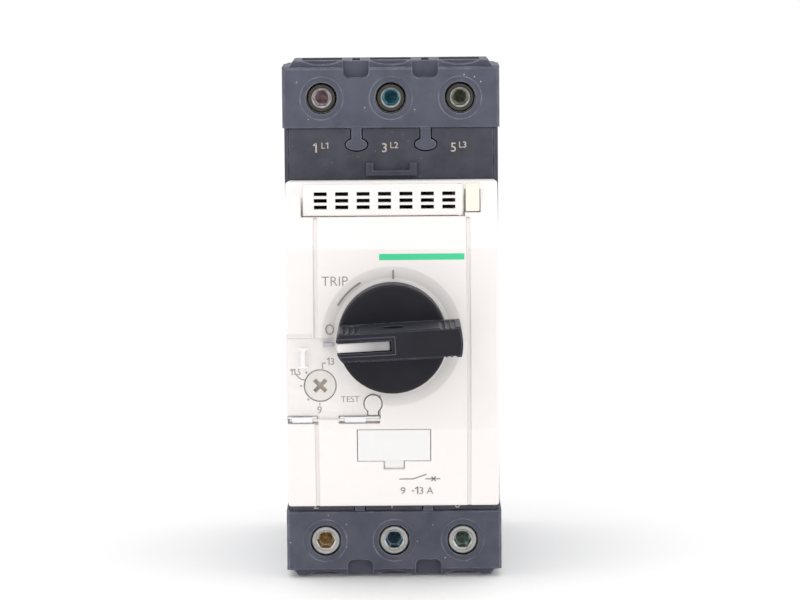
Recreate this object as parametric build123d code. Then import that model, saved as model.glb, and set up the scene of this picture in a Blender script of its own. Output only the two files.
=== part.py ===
"""Three-pole motor protection breaker with rotary handle, box terminals and rail foot.

Frame: +X to the right, +Z up, the handle faces -Y.  The origin is the middle of the
face that rests on a 35 mm top-hat rail; the rear feet reach the wall behind the rail.
All lengths are in millimetres.
"""
from build123d import *
import os
from math import atan2, cos, radians, sin

# ---------------------------------------------------------------- driving dimensions
WIDTH = 55.0
HEIGHT = 132.0
RAIL_DEPTH = 7.5              # rail height, from the wall to its front face
DEPTH = 136.0                 # wall to the top of the handle
POLE_PITCH = 17.5
POLES = [-POLE_PITCH, 0.0, POLE_PITCH]
WALLS = [-POLE_PITCH / 2, POLE_PITCH / 2]     # partitions between the poles
BIG = 200.0                   # reach of a cutting tool that runs clear of the part

# depths, front to back
LEVER_TOP_Y = RAIL_DEPTH - DEPTH
PANEL_Y = -106.5              # front face of the cover around the handle
FLAP_Y = -100.0               # front face of the auxiliary flap
BLOCK_Y = -77.0               # front face of the terminal blocks
STRIP_Y = -76.3               # front face of the marking strips
MID_Y = -70.0                 # the cover stands on the middle housing here
SPLIT_Y = -58.0               # base housing meets the parts in front of it here
REAR_Y = 0.0
STEP_Y = -50.0                # behind this the base housing is lower than the blocks
SHELL = 2.0                   # wall of the cover

# heights
BODY_Z = 49.0                 # marking strips end and terminal blocks start
BLOCK_Z = 64.2                # outer edge of a terminal block's front face
RIM_Z = 64.4                  # base housing in front of its step
BASE_Z = 61.2                 # and behind it
BAY_FLOOR, BAY_TOP = 29.6, 35.1     # bay behind the auxiliary flap
COVER_BOTTOM = -43.9
RIDGE_TOP = 21.4              # the panel bends back above this line
RIDGE_BOTTOM = -23.4          # and below this one
COVER_BOTTOM_Y = -99.0
COVER_HALF = 26.3
FLAP_FOOT = 28.7              # lower edge of the rebate that the flap lies in
KNOB_Z = -0.3                 # handle axis
LEVER_TILT = 2.8              # the handle rests this many degrees off level

# terminals
SCREW_Z = 56.6
SCREW_R = 3.7
SCREW_LENGTH = 12.0
LINE_SCREW_Y = -75.1          # outer faces of the screws: line side driven in
LOAD_SCREW_Y = -76.6          # load side nearly flush

# rail
RAIL_HALF = 17.7              # half the height of the rail channel
HOOK_REACH = 2.5
SEAT_HALF = 15.0              # half the height of the flat that rests on the rail

# small controls
DIAL_X, DIAL_Z, DIAL_R = -17.9, -12.55, 3.8
TEST_X, TEST_Z, TEST_R = -4.9, -17.1, 2.13
LID_AXIS_Y, LID_AXIS_Z = PANEL_Y + 0.8, -21.1


# ---------------------------------------------------------------- small makers
def block(x0, x1, y0, y1, z0, z1):
    """Box between two corners."""
    size = Box(abs(x1 - x0), abs(y1 - y0), abs(z1 - z0))
    return Pos((x0 + x1) / 2, (y0 + y1) / 2, (z0 + z1) / 2) * size


def rod(axis, a, b, r, s0, s1):
    """Cylinder along 'x', 'y' or 'z' from s0 to s1; a and b are its other two places."""
    middle = (s0 + s1) / 2
    body = Cylinder(r, abs(s1 - s0))
    if axis == "x":
        return Pos(middle, a, b) * Rot(0, 90, 0) * body
    if axis == "y":
        return Pos(a, middle, b) * Rot(90, 0, 0) * body
    return Pos(a, b, middle) * body


def side_profile(points, x0, x1):
    """Outline of (y, z) points carried along X."""
    face = make_face(Polyline(*points, close=True))
    return Pos(x0, 0, 0) * extrude(Plane.YZ * face, x1 - x0)


def front_profile(points, y0, y1):
    """Outline of (x, z) points carried along Y, from y0 back to y1."""
    face = make_face(Polyline(*points, close=True))
    return Pos(0, y1, 0) * extrude(Plane.XZ * face, y1 - y0)


def mirror_z(shape):
    return mirror(shape, Plane.XY)


def coil_spring(radius, wire, turns, length):
    """Round-wire compression spring that starts at the origin and runs along +Z."""
    path = Helix(pitch=(length - wire) / turns, height=length - wire, radius=radius)
    section = Plane(origin=path @ 0, z_dir=path % 0) * Circle(wire / 2)
    return Pos(0, 0, wire / 2) * sweep(section, path=path)


def along_y(shape, x, y, z):
    """Put a shape that runs along +Z so that it runs towards +Y from (x, y, z)."""
    return Pos(x, y, z) * Rot(-90, 0, 0) * shape


# ---------------------------------------------------------------- housings
def base_housing():
    """Black rear tray: three pole chambers, terminal pockets, rail channel and feet."""
    half = WIDTH / 2
    body = block(-half, half, SPLIT_Y, REAR_Y, -BASE_Z, BASE_Z)
    body = fillet(body.edges().filter_by(Axis.Y), 1.2)
    rim = block(-half, half, SPLIT_Y, STEP_Y, -RIM_Z, RIM_Z)
    body += fillet(rim.edges().filter_by(Axis.Y), 1.2)
    for sign in (1, -1):
        foot = block(-half + 1, half - 1, REAR_Y - 0.5, RAIL_DEPTH, sign * RAIL_HALF, sign * 59.5)
        foot = chamfer(foot.edges().filter_by(Axis.X).group_by(Axis.Y)[-1], 1.0)
        body += foot
    # the two fixed hooks hang over the upper edge of the rail
    for x in (-15, 15):
        body += block(x - 7, x + 7, 1.4, 3.6, RAIL_HALF - HOOK_REACH, RAIL_HALF + 0.5)
    # relief for the tips of the rail's flanges beside the seat
    for sign in (1, -1):
        body -= block(-BIG, BIG, -0.3, 1.0, sign * SEAT_HALF, sign * RAIL_HALF)
    chambers = [(-26.0, -9.5), (-8.0, 8.0), (9.5, 26.0)]
    for x0, x1 in chambers:
        body -= block(x0, x1, SPLIT_Y - 1, -4, -47.5, 47.5)
    for x in POLES:
        for s in (1, -1):
            body -= block(x - 7, x + 7, SPLIT_Y - 1, -53, s * 51, s * 63.2)
            body -= block(x - 7, x + 7, -54, -20, s * 51, s * 59.8)
            body -= block(x - 3.8, x + 3.8, SPLIT_Y - 1, -55.9, s * 44, s * 52)
    # the contact carrier's crossbar runs through the partitions
    for x in WALLS:
        body -= block(x - 1, x + 1, SPLIT_Y - 1, -48.5, 14.5, 25.5)
    # moulding pockets in the feet and a shallow panel on each side
    for x in POLES:
        body -= block(x - 6.6, x + 6.6, 2.0, BIG, 24, 47)
    for x0, x1 in ((-25, -13), (13, 25)):
        body -= block(x0, x1, 2.0, BIG, -57, -23)
    for s in (1, -1):
        panel = block(s * (half - 0.4), s * BIG, -52, -8, -41, 41)
        body -= fillet(panel.edges().filter_by(Axis.X), 3.0)
    # channel and undercut guides for the sliding rail latch, with the spring's stop
    body -= block(-9.1, 9.1, 1.0, BIG, -BIG, -RAIL_HALF + 1)
    body -= block(-10.6, 10.6, 2.5, 4.6, -BIG, -RAIL_HALF + 1)
    body += block(-1.9, 1.9, 0.5, 5.0, -46, -44)
    # counterbores and holes of the four assembly screws
    for x in WALLS:
        for z in (53, -53):
            body -= rod("y", x, z, 2.6, -3, BIG)
            body -= rod("y", x, z, 1.25, SPLIT_Y - 1, 0)
    # cooling slots through the side walls of the outer chambers
    for z in range(-30, 31, 12):
        body -= block(-BIG, -25, -34, -18, z - 0.8, z + 0.8)
        body -= block(25, BIG, -34, -18, z - 0.8, z + 0.8)
    return body


def mid_housing():
    """Black middle frame: the floor between the contact chambers and the mechanism."""
    body = block(-27.2, 27.2, MID_Y, SPLIT_Y, -BODY_Z, BODY_Z)
    body = fillet(body.edges().filter_by(Axis.Y), 0.6)
    body -= block(-25, 25, MID_Y - 1, SPLIT_Y - 2, -33, 33)
    for s in (1, -1):
        body -= block(-24, 24, MID_Y - 1, SPLIT_Y - 4, s * 35.5, s * 46.5)
    for x in (-6, 6):
        body -= rod("y", x, KNOB_Z, 1.6, MID_Y, 0)
    for x in POLES:
        body -= rod("y", x, -9, 1.5, MID_Y, 0)
        body -= block(x - 4.6, x + 4.6, MID_Y, 0, -32, -24)
    # bearing ears of the trip bar
    for x in (-24.2, 24.2):
        ear = block(x - 0.8, x + 0.8, -68.5, SPLIT_Y - 1, -30, -26)
        body += ear - rod("x", -66, -28, 1.5, -30, 30)
    return body


def front_cover():
    """Cream front shell: sloping head and chin, flat panel with the openings of the controls."""
    outline = [(STRIP_Y - 0.3, COVER_BOTTOM), (COVER_BOTTOM_Y, COVER_BOTTOM), (PANEL_Y, RIDGE_BOTTOM),
               (PANEL_Y, RIDGE_TOP), (-95.5, 37.1), (STRIP_Y - 0.3, 35.9)]
    solid = side_profile(outline, -COVER_HALF, COVER_HALF)
    front_edges = [e for e in solid.edges() if e.center().Y < -97]
    along_x = [e for e in front_edges if abs(e.center().X) < 1 and e.center().Z < 30]
    solid = fillet(along_x, 1.1)
    ends = [e for e in solid.edges() if abs(abs(e.center().X) - COVER_HALF) < 0.01 and e.center().Y < -78]
    solid = fillet(ends, 0.7)
    full = solid
    solid += block(-COVER_HALF, COVER_HALF, STRIP_Y - 0.5, MID_Y, -33.6, 33.6)
    # hollow inside
    cavity = [(-BIG / 4, -33.6 + SHELL), (-79, -33.6 + SHELL), (-79, COVER_BOTTOM + SHELL),
              (COVER_BOTTOM_Y + SHELL, COVER_BOTTOM + SHELL), (PANEL_Y + 2.2, RIDGE_BOTTOM + 0.6),
              (PANEL_Y + 2.2, RIDGE_TOP - 0.6), (-101.5, 26.6), (-BIG / 4, 26.6)]
    solid -= side_profile(cavity, -COVER_HALF + SHELL, COVER_HALF - SHELL)
    # bay of the auxiliary flap, open in front and roofed over behind the flap
    solid -= block(-22.4, 18.15, -BIG, FLAP_Y + 2, FLAP_FOOT, BIG)
    solid -= block(-21.2, 16.0, FLAP_Y + 1.9, BIG, BAY_FLOOR, BAY_TOP)
    # seat of the cream filler beside it
    solid -= block(18.15, 22.0, -BIG, FLAP_Y + 2, BAY_FLOOR, BIG)
    solid -= block(18.15, 22.0, FLAP_Y + 1.9, -87.8, BAY_FLOOR, BAY_TOP)
    # the roof of the bay ends just short of the marking strip between the two cheeks
    solid -= block(-21.5, 16.5, STRIP_Y - 0.65, BIG, BAY_TOP - 0.1, BIG)
    # two shallow grooves divide the front into three columns
    for x in (-18.85, 18.85):
        band = block(x - 0.45, x + 0.45, -BIG, 0, COVER_BOTTOM - 1, 28.6)
        solid -= (full & band) - Pos(0, 0.55, 0) * full
    # dished ring and hole of the handle
    dish = Cone(17.3, 14.4, 0.8)
    solid -= Pos(0, PANEL_Y + 0.4, KNOB_Z) * Rot(-90, 0, 0) * dish
    solid -= rod("y", 0, KNOB_Z, 9.0, PANEL_Y, -100)
    # recess of the clear lid and its finger notch
    solid -= lid_outline(0.25, PANEL_Y - 1, PANEL_Y + 1.1)
    solid -= block(-BIG, -19.9, PANEL_Y - 1, PANEL_Y + 0.7, -1.3, 0.25)
    # trench of the lid hinge, left standing as a bearing in the middle, over an inner rib
    solid += block(-25, -2.0, PANEL_Y + 2.1, PANEL_Y + 3.5, -23.6, -18.8)
    trench = rod("x", LID_AXIS_Y, LID_AXIS_Z, 1.1, -25.9, -3.2)
    trench -= block(-18.5, -13.4, -BIG, 0, -30, 0)
    solid -= trench
    solid -= rod("x", LID_AXIS_Y, LID_AXIS_Z, 0.4, -25.6, -2.8)
    # setting dial and test button
    solid -= rod("y", DIAL_X, DIAL_Z, DIAL_R + 0.25, PANEL_Y - 1, -100)
    solid -= test_outline(0.22, PANEL_Y - 1, -100)
    solid -= rod("z", FLAP_PIN_X, FLAP_PIN_Y, 0.45, 27.5, 30)
    # bay of the marker plate on the chin
    solid -= on_chin(block(-8.95, 9.35, -9.1, -0.05, -1.0, 1.0))
    solid -= on_chin(block(-2.4, 2.8, -11.4, -9.0, -1.0, 1.0))
    return solid


CHIN_ANGLE = atan2(COVER_BOTTOM_Y - PANEL_Y, RIDGE_BOTTOM - COVER_BOTTOM)
CHIN = Plane(origin=(0, PANEL_Y, RIDGE_BOTTOM), x_dir=(1, 0, 0),
             z_dir=(0, -cos(CHIN_ANGLE), -sin(CHIN_ANGLE)))


def on_chin(shape):
    """Put a shape drawn with x across, y up the chin and z outwards onto the sloping chin."""
    return CHIN.location * shape


def lid_outline(grow, y0, y1):
    """Plan of the sealing lid, grown by a clearance, cut out round the handle."""
    plan = block(-25.9 - 2 * grow, -3.3 + grow, y0, y1, -20.6 - grow, -0.95 + grow)
    plan -= rod("y", 0, KNOB_Z, 14.2 - grow, y0 - 1, y1 + 1)
    return plan


def test_outline(grow, y0, y1):
    """Keyhole plan of the test button."""
    stem = block(TEST_X - 1.2 - grow, TEST_X + 1.2 + grow, y0, y1, TEST_Z - 2.75 - grow, TEST_Z)
    return rod("y", TEST_X, TEST_Z, TEST_R + grow, y0, y1) + stem


def terminal_block():
    """Upper black terminal block: screw wells, cable entries, barrier slots and tongues."""
    half = WIDTH / 2
    face = block(-27.2, 27.2, BLOCK_Y, -74.5, BODY_Z, BLOCK_Z)
    face = fillet(face.edges().filter_by(Axis.Y), 0.5)
    face = chamfer(face.edges().group_by(Axis.Y)[0], 0.3)
    outline = [(-half, BODY_Z), (half, BODY_Z), (half, 64.5), (25.7, 64.5), (24.6, 66),
               (-24.6, 66), (-25.7, 64.5), (-half, 64.5)]
    rear = front_profile(outline, -74.8, SPLIT_Y)
    body = face + rear
    for x in POLES:
        body -= block(x - 7, x + 7, -73.4, SPLIT_Y + 1, 50.5, 64)
        body -= rod("y", x, SCREW_Z, 4.0, BLOCK_Y - 1, -70)
        body -= rod("y", x, SCREW_Z, 5.4, BLOCK_Y - 1, BLOCK_Y + 0.25)
        entry = block(x - 5.2, x + 5.2, -70.5, -58.5, 63, BIG)
        body -= fillet(entry.edges().filter_by(Axis.Z), 1.2)
        # shallow round dip in front of it, under the cable
        body -= rod("y", x, 66 - 1.1 + 12.4, 12.4, -80, -72.6)
    for x in WALLS:
        # notch with rounded lower corners in the front edge, and the slot of a phase barrier
        notch = block(x - 3.3, x + 3.3, BLOCK_Y - 1, -73.9, BLOCK_Z - 2.6, 70)
        body -= fillet(notch.edges().filter_by(Axis.Y).group_by(Axis.Z)[0], 1.6)
        body -= block(x - 1.0, x + 1.0, -73.0, -60.0, 62, BIG)
        body += tongue(x, 0.0, STRIP_Y - 0.2, -72.0)
        body -= rod("y", x, 53, 1.25, -64, 0)
    return body


def tongue(x, grow, y0, y1):
    """Keyed tongue that locks the marking strip: a neck that ends in an oval head."""
    neck = block(x - 1.25 - grow, x + 1.25 + grow, y0, y1, 45.5, BODY_Z + 0.5)
    head = Pos(x, y1, 44.85) * extrude(Plane.XZ * Ellipse(2.7 + grow, 1.5 + grow), y1 - y0)
    return neck + head


def marking_strip():
    """Upper black marking strip with keyed slots for the block's tongues."""
    body = block(-27.0, 27.0, STRIP_Y, MID_Y - 0.1, 34.0, BODY_Z - 0.12)
    body = fillet(body.edges().filter_by(Axis.Y), 0.6)
    for x in WALLS:
        body -= tongue(x, 0.35, STRIP_Y - 1, MID_Y + 1)
    # a fine groove beside each end
    for x in (-25.9, 25.9):
        body -= block(x - 0.12, x + 0.12, STRIP_Y - 1, STRIP_Y + 0.25, 30, 60)
    return body


def strip_latch():
    """Small U-shaped catch at the lower edge of the upper marking strip."""
    body = block(-6.4, 6.5, STRIP_Y - 1.6, STRIP_Y, 37.0, 38.4)
    for x0, x1 in ((-6.4, -4.5), (4.6, 6.5)):
        body += block(x0, x1, STRIP_Y - 1.6, STRIP_Y, 37.0, 40.3)
    return chamfer(body.edges().group_by(Axis.Y)[0], 0.25)


# ---------------------------------------------------------------- terminals
def cage(x, side):
    """Steel box clamp round the end of the copper link; side is +1 above, -1 below."""
    body = block(x - 6.4, x + 6.4, -72.8, -54.4, 51.2, 63)
    body -= block(x - 4.9, x + 4.9, -68.8, -56.2, 50, 65)
    body -= rod("y", x, SCREW_Z, SCREW_R + 0.06, -75, -65)
    return body if side > 0 else mirror_z(body)


def terminal_screw(x, side, face_y):
    """Hollow-head clamping screw with a 4 mm hexagon socket."""
    z = side * SCREW_Z
    body = rod("y", x, z, SCREW_R, face_y, face_y + SCREW_LENGTH)
    body = chamfer(body.edges().group_by(Axis.Y)[0], 0.3)
    socket = extrude(Plane.XZ * RegularPolygon(2.0, 6, major_radius=False), 4.0)
    body -= Pos(x, face_y + 4.0, z) * socket
    # bevelled mouth of the hexagon
    body -= Pos(x, face_y + 0.25, z) * Rot(-90, 0, 0) * Cone(2.75, 2.15, 0.5)
    # the drill point below the hexagon
    body -= Pos(x, face_y + 4.0 + 0.6, z) * Rot(-90, 0, 0) * Cone(1.7, 0.1, 1.2)
    return body


def pressure_plate(x, side, face_y):
    """Plate that the screw tip presses on the cable."""
    y = face_y + SCREW_LENGTH + 0.05
    z0, z1 = side * 51.9, side * 62.2
    body = block(x - 4.5, x + 4.5, y, y + 1.5, z0, z1)
    return body


def terminal_link(x, side):
    """Copper strip from the box clamp through the chamber."""
    reach = [(-57.8, 63), (-57.8, 45), (-27.9, 45)] if side > 0 else [(-57.8, 63), (-57.8, 45), (-14.0, 45)]
    z_inner = 27.0 if side > 0 else 30.0
    y_inner = reach[-1][0]
    body = block(x - 3.5, x + 3.5, -57.8, -56.3, side * 45, side * 62.8)
    body += block(x - 3.5, x + 3.5, -57.8, y_inner, side * 45, side * 46.5)
    body += block(x - 3.5, x + 3.5, y_inner - 1.5, y_inner, side * z_inner, side * 46.5)
    return body


# ---------------------------------------------------------------- contacts and releases
def contact_carrier():
    """Moulded carrier: two push rods, a yoke plate, a crossbar and one stem per pole."""
    body = block(-24.5, 24.5, -56, -52.5, 16, 24)
    body += block(-7.6, 7.6, -56, -52.5, -4, 24)
    for x in (-6, 6):
        body += rod("y", x, KNOB_Z, 1.2, -84.1, -54)
        body += rod("y", x, KNOB_Z, 2.3, -78, -77)
    for x in POLES:
        body += block(x - 2.5, x + 2.5, -53, -36, 17.5, 22.5)
    return body


def moving_contact(x):
    """Contact bridge with a domed tip at each end."""
    body = block(x - 3.5, x + 3.5, -36, -34.5, 6, 34)
    for z in (9, 31):
        body += rod("y", x, z, 2.0, -34.6, -33.5)
    return body


def fixed_tips(x):
    return [rod("y", x, z, 2.0, -30.4, -29.4) for z in (9, 31)]


def coil_link(x):
    """Lower fixed contact, bent back to the start of the magnet coil."""
    return block(x - 3.5, x + 3.5, -29.4, -27.9, 3, 13) + block(x - 3.5, x + 3.5, -28.5, -22, 3, 4.5)


def magnet_coil(x):
    """Heavy winding of the short-circuit release, with its two end tabs."""
    body = rod("y", x, -9, 6.0, -44, -22.6) - rod("y", x, -9, 4.4, -50, 0)
    for k in range(7):
        y = -42 + 2.8 * k
        body -= rod("y", x, -9, 7, y - 0.25, y + 0.25) - rod("y", x, -9, 5.3, -60, 0)
    body += block(x - 1.5, x + 1.5, -25.5, -23.5, -3.6, 3)
    body += block(x - 1.5, x + 1.5, -25.5, -23.5, -27, -14.4)
    return body


def coil_yoke(x):
    """Bent steel frame of the magnet, open towards the next pole, with its fixed core."""
    body = block(x - 7.7, x - 6.4, -46.2, -21.0, -16, -2)
    for y in (-46.2, -22.4):
        body += block(x - 7.7, x + 6.0, y, y + 1.4, -16, -2)
    body -= rod("y", x, -9, 4.35, -50, -30)
    body += rod("y", x, -9, 4.2, -28, -21.0)
    return body


def plunger(x):
    """Sliding core with the pin that strikes the trip bar."""
    return rod("y", x, -9, 4.0, -46.6, -30.5) + rod("y", x, -9, 0.9, -56.8, -46)


def bimetal(x):
    return block(x - 4, x + 4, -55, -14, -30, -29)


def heater(x):
    """Flat winding round the bimetal strip."""
    return block(x - 5, x + 5, -46, -22, -32, -27) - block(x - 4.3, x + 4.3, -50, -20, -30.5, -28.5)


def arc_plates(x):
    """Steel splitter plates above and below the contact bridge."""
    plates = []
    for k in range(7):
        y = -52 + 2.8 * k
        plates.append(block(x - 6.4, x + 6.4, y, y + 1, 35.5, 44))
        if k >= 2:
            plates.append(block(x - 6.4, x + 6.4, y, y + 1, -1.3, 4.8))
    return plates


def arc_cheeks(x):
    """Fibre side walls that hold the splitter plates."""
    walls = []
    for x0, x1 in ((x - 7.3, x - 6.4), (x + 6.4, x + 7.3)):
        walls.append(block(x0, x1, -52.4, -33, 35, 44.6))
        walls.append(block(x0, x1, -47, -33, -1.5, 5))
    return walls


# ---------------------------------------------------------------- mechanism
FRAME_HALF = 13.5
SHAFT_TIP_Y = -113.6


def mechanism_frame():
    """Bent steel bracket that carries the handle shaft and guides the push rods."""
    body = block(-FRAME_HALF, FRAME_HALF, -98, -96.6, -20.5, 14)
    for x in (-FRAME_HALF, FRAME_HALF - 1.2):
        body += block(x, x + 1.2, -98, -60, -14, 14)
    body += block(-FRAME_HALF, FRAME_HALF, -73.2, -72, -14, 14)
    body -= rod("y", 0, KNOB_Z, 5.0, -100, -95)
    body -= rod("y", 0, KNOB_Z, 3.08, -90, -65)
    body -= rod("y", TEST_X, TEST_Z, 1.4, -100, -90)
    for x in (-6, 6):
        body -= rod("y", x, KNOB_Z, 1.35, -80, -70)
    return body


def shaft_bush():
    return rod("y", 0, KNOB_Z, 5.0, -98, -96.6) + rod("y", 0, KNOB_Z, 6.2, -99.2, -98) \
        - rod("y", 0, KNOB_Z, 3.06, -110, -90)


def drive_cam():
    """Face cam on the shaft: two stepped ramps push the carrier's rods as the handle turns."""
    body = rod("y", 0, KNOB_Z, 9.2, -89, -85)
    steps = 6
    turn = 90 / steps
    lift = 3.0 / steps
    for half_turn in (0, 180):
        for k in range(steps):
            height = 0.3 + lift * k
            ring = rod("y", 0, 0, 8.2, 0, height) - rod("y", 0, 0, 4.0, -1, height + 1)
            wedge = sector(turn, 10.0, height)
            piece = ring & wedge
            body += Pos(0, -85, KNOB_Z) * Rot(0, half_turn - (k + 1) * turn, 0) * piece
    body -= rod("y", 0, KNOB_Z, 3.0, -100, -70)
    return body


def sector(angle, radius, height):
    """Wedge about the Y axis from the +X side, opening by the given angle, from y=0."""
    points = [(0.0, 0.0)]
    for k in range(4):
        a = radians(-angle * k / 3)
        points.append((radius * 1.1 * cos(a), radius * 1.1 * sin(a)))
    face = make_face(Polyline(*points, close=True))
    return Pos(0, height, 0) * extrude(Plane.XZ * face, height)


def trip_bar():
    """Plastic bar across all poles with a finger at each release and at the test rod."""
    body = rod("x", -66, -28, 1.4, -24.9, 24.9)
    for x in POLES:
        body += block(x - 2, x + 2, -66.6, -65.4, -28, -19)
    body += block(TEST_X - 1.5, TEST_X + 1.5, -66.6, -65.4, -28, -15.5)
    return body


# ---------------------------------------------------------------- controls
DISC_Y = -113.0
LEVER_Z = 0.45                # the lever's middle line lies this far above the handle axis


def knob():
    """Handle: domed disc, tall lever with grip ribs, padlock slot and hub."""
    disc = rod("y", 0, 0, 13.45, DISC_Y, -106.1)
    disc = fillet(disc.edges().group_by(Axis.Y)[0], 0.9)
    disc += rod("y", 0, 0, 8.6, -107, -103.2)
    lever = lever_body()
    body = disc + lever
    body -= block(-20, -0.15, LEVER_TOP_Y - 1, DISC_Y - 1.2, LEVER_Z - 1.35, LEVER_Z + 1.35)
    # hole for a shackle, through both flanks
    body -= rod("z", 0.45, -121.0, 2.9, -10, 10)
    body -= rod("y", 0, 0, 3.0, SHAFT_TIP_Y, -100)
    return turn_lever(body)


def lever_body():
    """Lever plan: straight flanks, rounded pointer at the left, convex end at the right."""
    half = 3.6
    lower = Line((-12.1, -half), (16.6, -half - 0.07))
    end = ThreePointArc((16.6, -half - 0.07), (17.1, 0), (16.6, half + 0.07))
    upper = Line((16.6, half + 0.07), (-12.6, half))
    point = ThreePointArc((-12.6, half), (-13.6, 0.6), (-12.1, -half))
    face = make_face([lower, end, upper, point])
    lever = Pos(0, -112, LEVER_Z) * extrude(Plane.XZ * face, -112 - LEVER_TOP_Y)
    lever = chamfer(lever.edges().group_by(Axis.Y)[0], 0.4)
    for x in (-11.1, -9.7, -8.3, 12.3, 13.6, 14.9):
        for side in (-1, 1):
            lever -= rod("y", x, LEVER_Z + side * (half + 0.45), 0.75, LEVER_TOP_Y - 1, -114)
    return lever


def turn_lever(shape):
    """Put a handle part, drawn level about the Y axis, on the handle axis at its rest tilt."""
    return Pos(0, 0, KNOB_Z) * Rot(0, -LEVER_TILT, 0) * shape


def padlock_tongue():
    """Sliding plate in the lever with a hole for a padlock shackle."""
    plate = block(-13.2, -0.45, -127.9, DISC_Y - 1.6, LEVER_Z - 1.1, LEVER_Z + 1.1)
    plate = fillet(plate.edges().filter_by(Axis.Z).group_by(Axis.Y)[0], 0.5)
    hole = rod("z", -6.5, -121.2, 2.6, -3, 3)
    return turn_lever(plate - hole)


def setting_dial():
    """Current setting dial with a cross slot, a spindle and an eccentric end."""
    body = rod("y", DIAL_X, DIAL_Z, DIAL_R, PANEL_Y + 1.25, -103.6)
    body += rod("y", DIAL_X, DIAL_Z, 4.9, -103.9, -102.7)
    body += rod("y", DIAL_X, DIAL_Z, 2.2, -103, -86)
    body += rod("y", DIAL_X + 0.7, DIAL_Z, 3.0, -86.5, -83)
    for angle in (45, -45):
        arm = block(-2.0, 2.0, PANEL_Y, PANEL_Y + 2.0, -0.48, 0.48)
        body -= Pos(DIAL_X, 0, DIAL_Z) * Rot(0, angle, 0) * arm
    return body


def test_button():
    """Keyhole-shaped push button with a collar and a long rod to the trip bar."""
    body = test_outline(0, PANEL_Y + 0.3, -102.5)
    body += rod("y", TEST_X, TEST_Z, 3.3, -102.9, -101.8)
    body += rod("y", TEST_X, TEST_Z, 1.0, -103.5, -67.0)
    return body


def clear_lid():
    """Transparent sealing lid with two hinge barrels and a slot over the seal staple."""
    front, back = PANEL_Y, PANEL_Y + 0.9
    body = lid_outline(0, front, back)
    body -= block(-18.8, -13.1, front - 1, back + 1, -30, -19.2)
    body -= test_outline(0.35, front - 1, back + 1)
    body -= block(-17.5, -13.5, front - 1, back + 1, -3.1, -1.35)
    # raised grip at the left
    body += block(-23.4, -20.8, front - 0.35, front + 0.1, -3.6, -3.0)
    body += block(-22.7, -21.5, front - 0.35, front + 0.1, -7.6, -3.3)
    body += block(-23.4, -20.8, front - 0.35, front + 0.1, -8.1, -7.5)
    for x0, x1 in ((-24.9, -19.9), (-11.9, -6.7)):
        body += rod("x", LID_AXIS_Y, LID_AXIS_Z, 0.8, x0, x1)
        body += block(x0, x1, front, back, -21.1, -20.3)
    body -= rod("x", LID_AXIS_Y, LID_AXIS_Z, 0.46, -30, 0)
    return body


def lid_hinge_pin():
    return rod("x", LID_AXIS_Y, LID_AXIS_Z, 0.4, -25.5, -2.9)


def seal_staple():
    """Eyelet through the lid for a sealing wire."""
    body = block(-17.1, -14.6, PANEL_Y - 0.5, PANEL_Y + 1.1, -2.7, -1.75)
    return body - rod("z", -15.8, PANEL_Y + 0.1, 0.35, -5, 0)


def marker_plate():
    """Clip-in marker plate with a finger tab, flush with the chin."""
    plate = block(-8.75, 9.15, -8.9, -0.25, -0.95, 0)
    plate += block(-2.2, 2.6, -11.2, -8.8, -0.95, -0.5)
    return on_chin(plate)


def aux_flap():
    """Slotted flap over the auxiliary contact bay; it swings about its right-hand end."""
    z0, z1 = FLAP_FOOT + 0.2, 36.7
    body = block(-21.85, FLAP_PIN_X, FLAP_Y, FLAP_Y + 1.7, z0, z1)
    body = fillet(body.edges().filter_by(Axis.X).group_by(Axis.Y)[0], 0.4)
    body += rod("z", FLAP_PIN_X, FLAP_PIN_Y, 0.9, z0, z1)
    for col in range(7):
        x = -17.55 + 5.29 * col
        for row in range(3):
            z = 31.05 + 1.64 * row
            body -= block(x - 1.6, x + 1.6, FLAP_Y - 1, FLAP_Y + 3, z - 0.48, z + 0.48)
    body -= rod("z", FLAP_PIN_X, FLAP_PIN_Y, 0.5, 0, 60)
    return body


FLAP_PIN_X, FLAP_PIN_Y = 16.9, FLAP_Y + 0.9


def aux_flap_pin():
    return rod("z", FLAP_PIN_X, FLAP_PIN_Y, 0.45, 27.5, 36.7)


def flap_stop():
    """Cream filler block to the right of the flap."""
    head = block(18.35, 21.8, FLAP_Y + 0.1, FLAP_Y + 1.7, BAY_FLOOR + 0.25, 36.9)
    return head + block(18.35, 21.8, FLAP_Y + 1.6, -88, BAY_FLOOR + 0.25, BAY_TOP - 0.15)


def aux_socket():
    """Black socket tray behind the flap with the plug-in slots of the auxiliary contacts."""
    body = block(-21.1, 15.9, FLAP_Y + 2.1, -77.2, BAY_FLOOR + 0.1, BAY_TOP - 0.1)
    body -= block(-20.3, 15.1, FLAP_Y, -88, 30.2, 34.7)
    for x in (-16, -10, -4, 2, 8):
        body -= block(x - 0.8, x + 0.8, -90, -80, 31, 34)
    return body


def rail_latch():
    """Sliding foot that snaps behind the lower edge of the rail."""
    body = block(-8.8, 8.8, 1.4, 5.6, -60, -RAIL_HALF)
    body += block(-10.3, 10.3, 2.8, 4.3, -58, -22)
    lip = [(1.4, -RAIL_HALF - 0.2), (3.6, -RAIL_HALF - 0.2), (3.6, -RAIL_HALF + HOOK_REACH - 1.2),
           (2.4, -RAIL_HALF + HOOK_REACH), (1.4, -RAIL_HALF + HOOK_REACH)]
    body += side_profile(lip, -8.0, 8.0)
    body -= block(-2.3, 2.3, 0, 8, -50.6, -30)
    body -= block(-3.2, 3.2, 0, 8, -58.2, -55.6)
    return body


# ---------------------------------------------------------------- assembly
def group(solids):
    return Compound(children=list(solids))


def each_pole(maker):
    """One solid per pole, kept apart in one node."""
    return group([maker(x) for x in POLES])


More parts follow.
